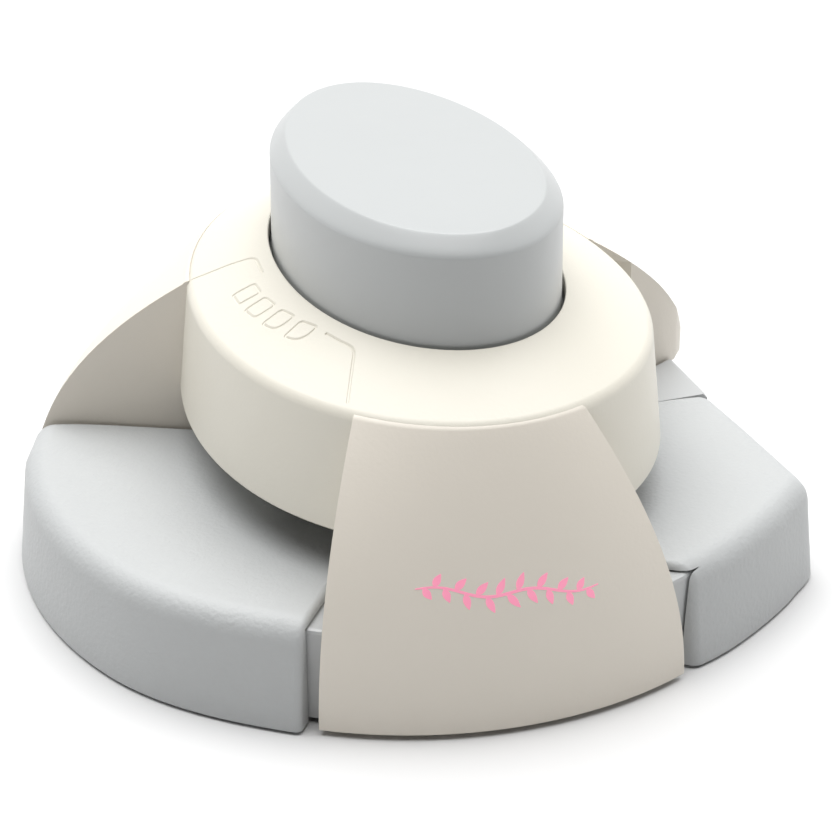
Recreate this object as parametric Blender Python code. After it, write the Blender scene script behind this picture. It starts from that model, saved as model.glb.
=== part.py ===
"""Three-station corner rounder for paper and card.

A cream casing, an oval ring on three flared legs, stands over a grey base with
three paper tables. A large oval button drives three steel punches through three
steel dies, each with its own corner shape. Lengths are in millimetres and are
scaled to metres by MM. The origin is on the table under the button's centre,
+Z is up, and the front leg faces -Y.
"""
import math

import bmesh
import bpy

MM = 0.001

# Driving dimensions, in millimetres.
CLEARANCE = 0.3            # gap between neighbouring pieces
WALL = 2.2                 # casing wall
FLOOR_Z = 0.9              # underside of the base, held up by the feet
DECK_Z = 13.8              # top of the base body's deck
WELL_Z = 12.2              # sunken middle of the deck, where the dies sit
TABLE_Z = 15.2             # paper level
RING_BOTTOM_Z = 21.8
RIM_Z = 37.9
HOLE_Z = 43.0
BUTTON_TOP_Z = 57.4
BASE_RADIUS = 50.2
SKIRT_RADIUS = 52.7        # outer radius of the legs at the table
TABLE_RADIUS = 54.8
SIDE_X = 43.6              # straight side of the base body under the right table
SHOULDER_X = 44.9          # the same side further back, beside the right-hand leg
SHOULDER_Y = -2.8
RING_FOOT = (31.4, 43.5)   # half widths of the ring's oval at its lower edge
RIM_INSET = 1.7            # draft of the ring's wall
HOLE = (18.1, 30.9)
BUTTON_FOOT = (17.8, 30.6)
BUTTON_CROWN = (17.7, 30.2)
EGG = -0.07                # ovals are this much wider towards -Y
STROKE = 6.0
AXIS_SHIFT = 3.257         # from the middle of the outline to the button's axis

# Stations: direction of each from the axis, radius of its corner.
STATIONS = {"left": (193.0, 8.0), "right": (332.0, 5.0), "rear": (83.0, 3.5)}
DIE_RADIUS = 17.0          # from the axis to a die's middle
APEX_U = -7.0              # paper corner, measured from the die's middle
GUIDE_SPOTS = {"front": (-2.6, -19.8), "left": (-9.8, 9.6), "right": (11.0, 6.0)}
CARRIER_SCREW_SPOTS = {"rear": (0.0, 24.0), "left": (-7.0, -13.0), "right": (7.0, -15.0)}
CASING_SCREW_SPOTS = {"front": (-4.7, -45.0), "left": (-31.5, 31.5), "right": (35.6, 25.0)}
FOOT_SPOTS = {"left": (-37.0, -8.5), "right": (25.6, -28.6), "rear": (4.6, 37.7)}

CREAM = (0.86, 0.82, 0.72)
LIGHT_GREY = (0.60, 0.63, 0.63)
MID_GREY = (0.52, 0.55, 0.56)
DARK_GREY = (0.12, 0.13, 0.14)
STEEL = (0.62, 0.63, 0.65)
SPRING_STEEL = (0.45, 0.46, 0.48)
WHITE_NYLON = (0.82, 0.82, 0.78)

for leftover in list(bpy.data.objects):
    bpy.data.objects.remove(leftover, do_unlink=True)

parts = bpy.data.collections.new("corner_rounder")
cutters = bpy.data.collections.new("cutters")
bpy.context.scene.collection.children.link(parts)
bpy.context.scene.collection.children.link(cutters)


# Tools -------------------------------------------------------------------

def material(name, colour, roughness, metallic=0.0):
    """A Principled material for one sub-part."""
    made = bpy.data.materials.new(name)
    made.use_nodes = True
    shader = made.node_tree.nodes["Principled BSDF"]
    shader.inputs["Base Color"].default_value = (*colour, 1.0)
    shader.inputs["Roughness"].default_value = roughness
    shader.inputs["Metallic"].default_value = metallic
    return made


def new_object(name, mesh, home):
    made = bpy.data.objects.new(name, mesh)
    home.objects.link(made)
    if home is cutters:
        made.hide_render = True
        made.display_type = "WIRE"
    return made


def finish_mesh(name, shape, home):
    """Close a bmesh into an object whose faces point outwards."""
    bmesh.ops.recalc_face_normals(shape, faces=shape.faces)
    mesh = bpy.data.meshes.new(name)
    shape.to_mesh(mesh)
    shape.free()
    mesh.shade_smooth()
    mesh.set_sharp_from_angle(angle=math.radians(35))
    return new_object(name, mesh, home)


def oval(half, count=72, grow=0.0):
    """Egg-shaped oval, wider towards -Y."""
    points = []
    for step in range(count):
        turn = 2 * math.pi * step / count
        across = (half[0] + grow) * math.cos(turn) * (1 + EGG * math.sin(turn))
        points.append((across, (half[1] + grow) * math.sin(turn)))
    return points


def arc(radius, start, end, count, centre=(0.0, 0.0)):
    points = []
    for step in range(count + 1):
        turn = math.radians(start + (end - start) * step / count)
        points.append((centre[0] + radius * math.cos(turn), centre[1] + radius * math.sin(turn)))
    return points


def oval_radius(half, degrees):
    """Distance from the axis to the oval in a direction."""
    turn = math.radians(degrees)
    for _ in range(6):
        across = half[0] * (1 + EGG * math.sin(turn))
        turn = math.atan2(math.sin(math.radians(degrees)) / half[1],
                          math.cos(math.radians(degrees)) / across)
    across = half[0] * math.cos(turn) * (1 + EGG * math.sin(turn))
    return math.hypot(across, half[1] * math.sin(turn))


def loft(name, rings, home=cutters):
    """Closed solid through rings of (height, outline), all with the same point count."""
    shape = bmesh.new()
    loops = []
    for height, outline in rings:
        loops.append([shape.verts.new((x * MM, y * MM, height * MM)) for x, y in outline])
    count = len(loops[0])
    for lower, upper in zip(loops, loops[1:]):
        for index in range(count):
            after = (index + 1) % count
            shape.faces.new((lower[index], lower[after], upper[after], upper[index]))
    shape.faces.new(loops[0][::-1])
    shape.faces.new(loops[-1])
    return finish_mesh(name, shape, home)


def plate(name, outline, low, high, home=cutters):
    """Flat outline extruded between two heights."""
    drawing = bpy.data.curves.new(name, "CURVE")
    drawing.dimensions = "2D"
    drawing.fill_mode = "BOTH"
    drawing.extrude = (high - low) / 2 * MM
    line = drawing.splines.new("POLY")
    line.points.add(len(outline) - 1)
    for point, (x, y) in zip(line.points, outline):
        point.co = (x * MM, y * MM, 0.0, 1.0)
    line.use_cyclic_u = True
    flat = bpy.data.objects.new(name + "_drawing", drawing)
    cutters.objects.link(flat)
    flat.location.z = (high + low) / 2 * MM
    bpy.context.view_layer.update()
    view = flat.evaluated_get(bpy.context.evaluated_depsgraph_get())
    mesh = bpy.data.meshes.new_from_object(view)
    shape = bmesh.new()
    shape.from_mesh(mesh)
    shape.transform(flat.matrix_world)
    bmesh.ops.remove_doubles(shape, verts=shape.verts, dist=1e-6)
    bpy.data.objects.remove(flat, do_unlink=True)
    return finish_mesh(name, shape, home)


def cylinder(name, radius, low, high, spot=(0.0, 0.0), sides=24, top=None, home=cutters):
    """Upright cylinder or cone between two heights."""
    shape = bmesh.new()
    bmesh.ops.create_cone(shape, cap_ends=True, segments=sides, radius1=radius * MM,
                          radius2=(radius if top is None else top) * MM,
                          depth=(high - low) * MM)
    bmesh.ops.translate(shape, verts=shape.verts,
                        vec=(spot[0] * MM, spot[1] * MM, (high + low) / 2 * MM))
    return finish_mesh(name, shape, home)


def bar_x(name, radius, start, end, y, z, sides=16, home=cutters):
    """Cylinder lying along X."""
    made = cylinder(name, radius, start, end, sides=sides, home=home)
    for vertex in made.data.vertices:
        x, side, along = vertex.co
        vertex.co = (along, side + y * MM, -x + z * MM)
    return made


def box(name, low, high, home=cutters):
    shape = bmesh.new()
    bmesh.ops.create_cube(shape, size=1.0)
    size = [(b - a) * MM for a, b in zip(low, high)]
    middle = [(a + b) / 2 * MM for a, b in zip(low, high)]
    bmesh.ops.scale(shape, verts=shape.verts, vec=size)
    bmesh.ops.translate(shape, verts=shape.verts, vec=middle)
    return finish_mesh(name, shape, home)


def boolean(target, operation, *tools):
    for tool in tools:
        step = target.modifiers.new(operation.title() + " " + tool.name, "BOOLEAN")
        step.operation = operation
        step.solver = "EXACT"
        step.object = tool
    return target


def cut(target, *tools):
    return boolean(target, "DIFFERENCE", *tools)


def join(target, *tools):
    return boolean(target, "UNION", *tools)


def round_edges(target, height, width, segments=3, beyond=0.0):
    """Round the edges that lie at one height, outside a radius."""
    shape = bmesh.new()
    shape.from_mesh(target.data)
    edges = [edge for edge in shape.edges
             if all(abs(v.co.z - height * MM) < 1e-6 for v in edge.verts)
             and all(math.hypot(v.co.x, v.co.y) > beyond * MM for v in edge.verts)
             and len(edge.link_faces) == 2
             and edge.calc_face_angle() > math.radians(30)]
    bmesh.ops.bevel(shape, geom=edges, offset=width * MM, offset_type="OFFSET",
                    segments=segments, profile=0.5, affect="EDGES", material=-1)
    shape.to_mesh(target.data)
    shape.free()
    return target


def paint(target, finish):
    target.data.materials.clear()
    target.data.materials.append(finish)
    return target


def station_point(direction, u, v):
    """Point u outwards and v sideways from a station's die middle."""
    turn = math.radians(direction)
    along = DIE_RADIUS + u
    return (along * math.cos(turn) - v * math.sin(turn),
            along * math.sin(turn) + v * math.cos(turn))


def waste_outline(direction, radius, grow=0.0):
    """Section of a punch: the corner that it takes off, and a margin past the paper's edges."""
    margin = 1.5 + grow
    half = math.sqrt(0.5)
    tangent = (APEX_U + radius * half, radius * half)
    centre_u = APEX_U + radius / half
    local = [(tangent[0] - margin * half + grow * half, tangent[1] + margin * half + grow * half),
             (APEX_U - margin / half, 0.0),
             (tangent[0] - margin * half + grow * half, -tangent[1] - margin * half - grow * half)]
    bow = arc(radius - grow, 225.0, 135.0, 8, (centre_u, 0.0))
    ends = math.sqrt(0.5) * grow
    bow[0] = (bow[0][0] + ends, bow[0][1] - ends)
    bow[-1] = (bow[-1][0] + ends, bow[-1][1] + ends)
    return [station_point(direction, u, v) for u, v in local + bow]


# Finishes ----------------------------------------------------------------

cream_plastic = material("cream casing plastic", CREAM, 0.45)
button_plastic = material("grey button plastic", LIGHT_GREY, 0.35)
table_plastic = material("textured grey table plastic", LIGHT_GREY, 0.6)
base_plastic = material("grey base plastic", MID_GREY, 0.4)
nylon = material("white nylon", WHITE_NYLON, 0.5)
steel = material("ground steel", STEEL, 0.3, 1.0)
spring_steel = material("spring steel", SPRING_STEEL, 0.35, 1.0)
rubber = material("dark rubber", DARK_GREY, 0.9)


# Upper casing: oval ring and three flared legs, one moulding ---------------

def bell(name, inset, low, high, top_drop=0.0, skirt=SKIRT_RADIUS, fullness=2.0):
    """Flared body from the ring's rim down to the round skirt, inset evenly."""
    rim = (RING_FOOT[0] - RIM_INSET, RING_FOOT[1] - RIM_INSET)
    rings = []
    steps = 9
    for step in range(steps + 1):
        height = low + (high - low) * step / steps
        share = min(max(height + top_drop, 0.0) / RIM_Z, 1.0)
        outline = []
        for turn in range(0, 360, 5):
            inner = oval_radius(rim, turn)
            flare = skirt - inner
            power = fullness + 0.06 * (SKIRT_RADIUS - inner - 12.8)
            radius = inner + flare * (1 - share ** power) - inset
            outline.append((radius * math.cos(math.radians(turn)),
                            radius * math.sin(math.radians(turn))))
        rings.append((height, outline))
    return loft(name, rings)


LEG_FLARES = {"front": (SKIRT_RADIUS, 2.0), "left": (54.2, 1.9), "right": (SKIRT_RADIUS, 2.0)}
LEG_OUTLINES = {
    "front": [(-8.0, -19.1), (-19.3, -33.9), (-36.3, -56.1), (0.0, -66.0), (36.4, -59.8),
              (8.2, -39.8), (-2.0, -32.6)],
    "left": [(-14.0, 4.3), (-46.8, 20.3), (-66.0, 29.7), (-50.0, 60.0), (-23.3, 59.4),
             (-12.0, 30.0)],
    "right": [(18.0, 5.0), (36.0, 6.6), (41.5, 8.4), (45.4, 10.5), (47.6, 13.2), (48.6, 17.0),
              (49.0, 26.0), (47.0, 60.0), (41.3, 60.0), (18.0, 26.0)],
}


def shrink(outline, inset):
    """Outline moved inwards by an even distance."""
    count = len(outline)
    area = sum(outline[i][0] * outline[(i + 1) % count][1]
               - outline[(i + 1) % count][0] * outline[i][1] for i in range(count))
    side = 1.0 if area > 0 else -1.0
    lines = []
    for index in range(count):
        x1, y1 = outline[index]
        x2, y2 = outline[(index + 1) % count]
        length = math.hypot(x2 - x1, y2 - y1)
        dx, dy = (x2 - x1) / length, (y2 - y1) / length
        lines.append((x1 - dy * inset * side, y1 + dx * inset * side, dx, dy))
    moved = []
    for index in range(count):
        x1, y1, dx1, dy1 = lines[index - 1]
        x2, y2, dx2, dy2 = lines[index]
        cross = dx1 * dy2 - dy1 * dx2
        along = ((x2 - x1) * dy2 - (y2 - y1) * dx2) / cross
        moved.append((x1 + along * dx1, y1 + along * dy1))
    return moved


def make_casing():
    slope = (HOLE_Z - RIM_Z) / (RING_FOOT[0] - RIM_INSET - HOLE[0])
    ring = loft("upper_casing", [
        (RING_BOTTOM_Z, oval(RING_FOOT)),
        (RIM_Z - 0.9, oval(RING_FOOT, grow=-RIM_INSET * 0.95)),
        (RIM_Z - 0.25, oval(RING_FOOT, grow=-RIM_INSET - 0.25)),
        (RIM_Z + 0.2, oval(RING_FOOT, grow=-RIM_INSET - 0.9)),
        (HOLE_Z, oval(HOLE, grow=0.6)),
        (HOLE_Z + 0.05, oval(HOLE, grow=-1.0)),
    ], parts)
    for name, outline in LEG_OUTLINES.items():
        foot = DECK_Z + CLEARANCE if name == "right" else FLOOR_Z
        skirt, fullness = LEG_FLARES[name]
        leg = bell(name + "_leg", 0.12, foot, RIM_Z - 0.2, 0.0, skirt, fullness)
        wedge = plate(name + "_leg_wedge", outline, -5.0, 45.0)
        boolean(leg, "INTERSECT", wedge)
        join(ring, leg)
    ceiling = RIM_Z - WALL
    cut(ring, loft("ring_cavity", [
        (DECK_Z, oval(RING_FOOT, grow=-WALL + 0.4)),
        (ceiling, oval(RING_FOOT, grow=-RIM_INSET - WALL)),
        (HOLE_Z - WALL - 0.4, oval(HOLE, grow=WALL * 0.3)),
        (HOLE_Z - WALL, oval(HOLE, grow=-3.0)),
    ]))
    for name, outline in LEG_OUTLINES.items():
        skirt, fullness = LEG_FLARES[name]
        hollow = bell(name + "_leg_hollow", WALL, -2.0, ceiling - slope - 1.0, WALL * 0.9,
                      skirt, fullness)
        wedge = plate(name + "_hollow_wedge", shrink(outline, WALL), -5.0, 45.0)
        boolean(hollow, "INTERSECT", wedge)
        cut(ring, hollow)
    cut(ring, loft("button_hole", [(30.0, oval(HOLE)), (50.0, oval(HOLE))]))
    cut(ring, cylinder("base_clearance", BASE_RADIUS + CLEARANCE, -5.0, DECK_Z + CLEARANCE,
                       sides=96))
    for name, spot in CASING_SCREW_SPOTS.items():
        join(ring, cylinder(name + "_boss", 3.0, DECK_Z + CLEARANCE, 21.5, spot, 16))
        cut(ring, cylinder(name + "_boss_hole", 1.6, 10.0, 19.5, spot, 12))
    paint(ring, cream_plastic)


# Push button: hollow oval cap with a retaining flange ----------------------

FLANGE_LOW = 37.3
FLANGE_HIGH = 39.3


def make_button():
    cap = loft("push_button", [
        (36.6, oval(BUTTON_FOOT, 64, -0.1)),
        (BUTTON_TOP_Z - 2.5, oval(BUTTON_CROWN, 64)),
        (BUTTON_TOP_Z - 1.5, oval(BUTTON_CROWN, 64, -0.3)),
        (BUTTON_TOP_Z - 0.7, oval(BUTTON_CROWN, 64, -0.95)),
        (BUTTON_TOP_Z - 0.2, oval(BUTTON_CROWN, 64, -1.9)),
        (BUTTON_TOP_Z, oval(BUTTON_CROWN, 64, -3.2)),
    ], parts)
    join(cap, loft("button_flange", [
        (FLANGE_LOW, oval(HOLE, 64, 1.5)),
        (FLANGE_HIGH, oval(HOLE, 64, 1.5)),
    ]))
    cut(cap, loft("button_cavity", [
        (30.0, oval(BUTTON_FOOT, 48, -2.1)),
        (BUTTON_TOP_Z - 2.4, oval(BUTTON_CROWN, 48, -2.2)),
    ]))
    for name, spot in CARRIER_SCREW_SPOTS.items():
        join(cap, cylinder(name + "_button_boss", 2.8, 36.6, BUTTON_TOP_Z - 2.0, spot, 16))
        cut(cap, cylinder(name + "_button_hole", 1.5, 30.0, 45.0, spot, 12))
    paint(cap, button_plastic)


# Punch carrier and what rides on it ----------------------------------------

CARRIER_LOW = 33.0
CARRIER_HIGH = 36.2
POST_RADIUS = 1.5
BUSH_RADIUS = 2.1
PUNCH_LOW = 17.3
PUNCH_HEAD_LOW = 31.2


def make_carrier():
    carrier = plate("punch_carrier", oval((16.9, 29.4), 48), CARRIER_LOW, CARRIER_HIGH, parts)
    for name, spot in GUIDE_SPOTS.items():
        cut(carrier, cylinder(name + "_bush_hole", BUSH_RADIUS + CLEARANCE, 30.0, 40.0, spot, 20))
    for name, spot in CARRIER_SCREW_SPOTS.items():
        cut(carrier, cylinder(name + "_carrier_hole", 1.6, 30.0, 40.0, spot, 12))
    paint(carrier, nylon)


def make_punches():
    for name, (direction, radius) in STATIONS.items():
        punch = plate(name + "_punch", waste_outline(direction, radius),
                      PUNCH_LOW, CARRIER_LOW - CLEARANCE, parts)
        paint(punch, steel)


def make_bushes():
    for name, spot in GUIDE_SPOTS.items():
        bush = cylinder(name + "_guide_bush", BUSH_RADIUS, CARRIER_LOW, CARRIER_HIGH + 0.9, spot,
                        20, home=parts)
        join(bush, cylinder(name + "_bush_flange", 3.1, CARRIER_HIGH + CLEARANCE,
                            CARRIER_HIGH + 1.2, spot, 20))
        cut(bush, cylinder(name + "_bush_bore", POST_RADIUS + 0.07, 30.0, 40.0, spot, 20))
        paint(bush, nylon)


def screw(name, spot, head_radius, head_low, head_high, radius, low, high):
    """Pan-head screw with a cross recess, its head at the end away from low..high."""
    made = cylinder(name, radius, low, high, spot, 12, home=parts)
    overlap = 0.2
    if head_low >= high - 0.01:
        head = cylinder(name + "_head", head_radius, head_low - overlap, head_high, spot, 16,
                        top=head_radius * 0.85)
        face, depth = head_high, -0.7
    else:
        head = cylinder(name + "_head", head_radius * 0.85, head_low, head_high + overlap, spot, 16,
                        top=head_radius)
        face, depth = head_low, 0.7
    join(made, head)
    for across, along in ((0.35, head_radius * 0.6), (head_radius * 0.6, 0.35)):
        slot_low, slot_high = sorted((face - 0.5 * math.copysign(1, depth), face + depth))
        cut(made, box(name + "_recess_%d" % round(across * 10),
                      (spot[0] - across, spot[1] - along, slot_low),
                      (spot[0] + across, spot[1] + along, slot_high)))
    paint(made, spring_steel)


def make_screws():
    for name, spot in CARRIER_SCREW_SPOTS.items():
        screw(name + "_carrier_screw", spot, 2.4, CARRIER_LOW - 1.6, CARRIER_LOW - CLEARANCE,
              1.2, CARRIER_LOW - CLEARANCE, 44.0)
    for name, spot in CASING_SCREW_SPOTS.items():
        screw(name + "_casing_screw", spot, 2.6, FLOOR_Z + 0.1, 2.0, 1.3, 2.0, 19.0)
    for name, (direction, _) in STATIONS.items():
        for side, v in (("a", DIE_SCREW_UV[1]), ("b", -DIE_SCREW_UV[1])):
            spot = station_point(direction, DIE_SCREW_UV[0], v)
            screw(name + "_die_screw_" + side, spot, 1.9, GUIDE_TOP + CLEARANCE,
                  GUIDE_TOP + 1.6, 0.9, 9.4, GUIDE_TOP + CLEARANCE)


# Stations: die in the base, guide block over the paper ----------------------

GUIDE_LOW = 16.8
GUIDE_TOP = 24.0
BLOCK_OUTLINE = [(-12.0, -4.0), (-5.0, -9.2), (8.0, -9.2), (8.0, 9.2), (-5.0, 9.2), (-12.0, 4.0)]
STOP_OUTLINE = [(-11.6, -3.9), (-5.0, -8.8), (1.8, -8.8), (-7.0, 0.0), (1.8, 8.8), (-5.0, 8.8),
                (-11.6, 3.9)]
DIE_SCREW_UV = (-9.6, 3.4)


def make_stations():
    for name, (direction, radius) in STATIONS.items():
        block = [station_point(direction, u, v) for u, v in BLOCK_OUTLINE]
        stop = [station_point(direction, u, v) for u, v in STOP_OUTLINE]
        holes = [station_point(direction, DIE_SCREW_UV[0], v)
                 for v in (DIE_SCREW_UV[1], -DIE_SCREW_UV[1])]
        die = plate(name + "_die", block, WELL_Z + CLEARANCE, TABLE_Z, parts)
        cut(die, plate(name + "_die_aperture", waste_outline(direction, radius, 0.15), 5.0, 20.0))
        guide = plate(name + "_guide_block", block, GUIDE_LOW, GUIDE_TOP, parts)
        join(guide, plate(name + "_paper_stop", stop, TABLE_Z + CLEARANCE, GUIDE_LOW + 1.0))
        cut(guide, plate(name + "_guide_aperture", waste_outline(direction, radius, 0.3),
                         10.0, 30.0))
        for index, spot in enumerate(holes):
            cut(die, cylinder("%s_die_hole_%d" % (name, index), 1.2, 5.0, 20.0, spot, 12))
            cut(guide, cylinder("%s_guide_hole_%d" % (name, index), 1.2, 10.0, 30.0, spot, 12))
        paint(die, steel)
        paint(guide, nylon)


# Base body: round wall, deck and sunken well --------------------------------

PAD_OUTLINE = [(27.6, SHOULDER_Y + 0.2), (SHOULDER_X - 0.2, SHOULDER_Y + 0.2),
               (SHOULDER_X - 0.2, 9.6), (41.3, 7.9), (36.0, 6.1), (27.6, 5.3)]


def base_outline(radius, side_x, count=72):
    """Circle with its right-hand side cut straight."""
    points = []
    for step in range(count):
        turn = 2 * math.pi * step / count
        points.append((min(radius * math.cos(turn), side_x), radius * math.sin(turn)))
    return points


def stepped_outline(radius, count=72):
    """The same circle, with its straight side set further out beyond the right table."""
    points = []
    for step in range(count):
        turn = 2 * math.pi * step / count
        x, y = radius * math.cos(turn), radius * math.sin(turn)
        points.append((min(x, SHOULDER_X if y > SHOULDER_Y else SIDE_X), y))
    return points + [(SIDE_X, SHOULDER_Y), (SHOULDER_X, SHOULDER_Y)]


def make_base():
    base = plate("base_body", stepped_outline(BASE_RADIUS), FLOOR_Z, DECK_Z, parts)
    round_edges(base, DECK_Z, 0.5, 2)
    cut(base, plate("base_hollow", base_outline(BASE_RADIUS - 2.2, SIDE_X - 2.2, 48),
                    -5.0, WELL_Z - 2.0))
    pad = plate("side_pad", PAD_OUTLINE, DECK_Z - 1.0, TABLE_Z - 0.3)
    round_edges(pad, TABLE_Z - 0.3, 0.7, 2, 44.0)
    join(base, pad)
    cut(base, cylinder("deck_well", 27.0, WELL_Z, 20.0, sides=48))
    for name, (direction, radius) in STATIONS.items():
        cut(base, plate(name + "_chip_hole", waste_outline(direction, radius, 0.6), 5.0, 20.0))
        for index, v in enumerate((DIE_SCREW_UV[1], -DIE_SCREW_UV[1])):
            spot = station_point(direction, DIE_SCREW_UV[0], v)
            cut(base, cylinder("%s_deck_hole_%d" % (name, index), 1.2, 5.0, 20.0, spot, 12))
    for name, spot in GUIDE_SPOTS.items():
        join(base, cylinder(name + "_post_boss", 3.2, 7.8, WELL_Z - 1.0, spot, 20))
        cut(base, cylinder(name + "_post_hole", POST_RADIUS + CLEARANCE, 8.6, 20.0, spot, 16))
    for name, spot in CASING_SCREW_SPOTS.items():
        join(base, cylinder(name + "_base_boss", 3.0, 3.6, DECK_Z - 1.0, spot, 16))
        cut(base, cylinder(name + "_base_hole", 1.6, -5.0, 20.0, spot, 12))
    paint(base, base_plastic)


# Paper tables: textured covers hooked over the base's edge -------------------


def eased_arc(first, last, start, end, count):
    """Arc whose radius eases from one value to another."""
    points = []
    for step in range(count + 1):
        share = step / count
        radius = first + (last - first) * share * share * (3 - 2 * share)
        turn = math.radians(start + (end - start) * share)
        points.append((radius * math.cos(turn), radius * math.sin(turn)))
    return points


TABLE_OUTLINES = {
    "left": (eased_arc(53.3, TABLE_RADIUS, 236.0, 206.0, 10)
             + arc(TABLE_RADIUS, 202.0, 165.0, 9) + [(-51.3, 18.0), (-49.9, 21.3)]
             + [(-25.2, 9.3), (-26.9, 3.4), (-22.7, -14.9), (-15.9, -26.0)]),
    "right": [(23.0, -47.1), (28.5, -45.0), (33.8, -42.1), (38.9, -38.8), (43.5, -35.2),
              (46.7, -32.6), (47.7, -31.2), (48.0, -29.4), (47.8, -23.0), (46.8, -3.2),
              (26.9, -3.2), (18.3, -20.2), (7.4, -36.2), (9.6, -37.6)],
    "rear": (arc(SKIRT_RADIUS - 0.1, 57.0, 109.0, 12)
             + [(-11.0, 31.9), (-5.9, 26.8), (12.2, 24.6), (18.0, 27.4)]),
}
TABLE_SHAPING = {"left": (1.6, 3.0), "right": (1.6, 3.0), "rear": (1.2, 2.6)}   # draft, round


def drafted(outline, lean):
    """Outline with its outer points moved towards the axis."""
    moved = []
    for x, y in outline:
        reach = math.hypot(x, y)
        share = 1 - lean / reach if reach > 42.0 else 1.0
        moved.append((x * share, y * share))
    return moved


def make_tables():
    for name, outline in TABLE_OUTLINES.items():
        draft, rounding = TABLE_SHAPING[name]
        table = loft(name + "_table", [(FLOOR_Z - 0.4, outline),
                                       (TABLE_Z, drafted(outline, draft))], parts)
        round_edges(table, TABLE_Z, rounding, 4, 43.0)
        cut(table, plate(name + "_table_clearance",
                         base_outline(BASE_RADIUS + CLEARANCE, SIDE_X + CLEARANCE),
                         -5.0, DECK_Z + CLEARANCE))
        paint(table, table_plastic)


# Guide posts and return springs ----------------------------------------------

SPRING_LOW = WELL_Z
SPRING_HIGH = CARRIER_LOW - CLEARANCE
SPRING_RADIUS = 2.75
WIRE_RADIUS = 0.3
SPRING_TURNS = 6


def make_posts():
    for name, spot in GUIDE_SPOTS.items():
        post = cylinder(name + "_guide_post", POST_RADIUS, 8.9, 38.6, spot, 20, home=parts)
        paint(post, steel)


def make_springs():
    steps = SPRING_TURNS * 9
    low = SPRING_LOW + CLEARANCE + WIRE_RADIUS
    high = SPRING_HIGH - CLEARANCE - WIRE_RADIUS
    for name, spot in GUIDE_SPOTS.items():
        coil = bpy.data.curves.new(name + "_return_spring", "CURVE")
        coil.dimensions = "3D"
        coil.bevel_depth = WIRE_RADIUS * MM
        coil.bevel_resolution = 1
        coil.use_fill_caps = True
        wire = coil.splines.new("POLY")
        wire.points.add(steps)
        for index, point in enumerate(wire.points):
            turn = 2 * math.pi * SPRING_TURNS * index / steps
            point.co = ((spot[0] + SPRING_RADIUS * math.cos(turn)) * MM,
                        (spot[1] + SPRING_RADIUS * math.sin(turn)) * MM,
                        (low + (high - low) * index / steps) * MM, 1.0)
        spring = new_object(name + "_return_spring", coil, parts)
        coil.materials.append(spring_steel)
        spring.data.use_fill_caps = True


# Underside: floor, chip door, hinge pin, feet --------------------------------

PLATE_HIGH = 3.1
DOOR_HIGH = 2.5
HINGE_Y = 21.5
HINGE_Z = 3.3
DOOR_OPENING = [(-24.0, -22.0), (24.0, -22.0), (24.0, 24.6), (-24.0, 24.6)]
DOOR_OUTLINE = [(-23.6, -21.6), (-7.0, -21.6), (-5.0, -19.0), (5.0, -19.0), (7.0, -21.6),
                (23.6, -21.6), (23.6, 19.2), (-23.6, 19.2)]


def make_underside():
    floor = plate("bottom_plate", base_outline(BASE_RADIUS - 2.5, SIDE_X - 2.5, 72),
                  FLOOR_Z, PLATE_HIGH, parts)
    cut(floor, plate("door_opening", DOOR_OPENING, -5.0, 10.0))
    for side, start, end in (("left", -16.0, -11.0), ("right", 11.0, 16.0)):
        join(floor, box(side + "_hinge_lug", (start, HINGE_Y - 1.8, 2.0),
                        (end, 25.4, HINGE_Z + 2.2)))
    cut(floor, bar_x("lug_bore", 1.0, -15.0, 15.0, HINGE_Y, HINGE_Z))
    for name, spot in CASING_SCREW_SPOTS.items():
        cut(floor, cylinder(name + "_screw_recess", 3.0, -5.0, 2.3, spot, 20))
        cut(floor, cylinder(name + "_screw_clearance", 1.6, -5.0, 10.0, spot, 12))
    for name, spot in FOOT_SPOTS.items():
        cut(floor, cylinder(name + "_foot_recess", 5.3, -5.0, 1.9, spot, 24))
    paint(floor, base_plastic)

    door = plate("chip_door", DOOR_OUTLINE, FLOOR_Z, DOOR_HIGH, parts)
    join(door, box("door_web", (-10.6, 17.0, 1.0), (10.6, HINGE_Y, DOOR_HIGH - 0.2)),
         bar_x("door_barrel", 1.8, -10.6, 10.6, HINGE_Y, HINGE_Z))
    cut(door, bar_x("barrel_bore", 1.0, -12.0, 12.0, HINGE_Y, HINGE_Z))
    paint(door, base_plastic)

    pin = bar_x("door_hinge_pin", 0.7, -14.6, 14.6, HINGE_Y, HINGE_Z, 12, parts)
    paint(pin, steel)

    for name, spot in FOOT_SPOTS.items():
        foot = cylinder(name + "_foot", 4.6, 0.0, 1.6, spot, 28, top=5.0, home=parts)
        paint(foot, rubber)


make_casing()
make_button()
make_carrier()
make_punches()
make_bushes()
make_screws()
make_stations()
make_base()
make_tables()
make_posts()
make_springs()
make_underside()

# Whole object: the middle of its outline is over the world origin ---------------

frame = bpy.data.objects.new("rounder_frame", None)
parts.objects.link(frame)
frame.location = (AXIS_SHIFT * MM, 0.0, 0.0)

press_axis = bpy.data.objects.new("press_axis", None)
parts.objects.link(press_axis)
press_axis.parent = frame

door_axis = bpy.data.objects.new("door_hinge_axis", None)
parts.objects.link(door_axis)
door_axis.location = (0.0, HINGE_Y * MM, HINGE_Z * MM)
door_axis.parent = frame

pressed = ["push_button", "punch_carrier"]
pressed += [name + "_punch" for name in STATIONS]
pressed += [name + "_guide_bush" for name in GUIDE_SPOTS]
pressed += [name + "_carrier_screw" for name in CARRIER_SCREW_SPOTS]
for piece in [thing for thing in parts.objects if thing.type != "EMPTY"]:
    piece.parent = press_axis if piece.name in pressed else frame
door = parts.objects["chip_door"]
door.parent = door_axis
for vertex in door.data.vertices:
    vertex.co.y -= HINGE_Y * MM
    vertex.co.z -= HINGE_Z * MM
for cutter in cutters.objects:
    cutter.parent = frame
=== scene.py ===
import math

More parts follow.
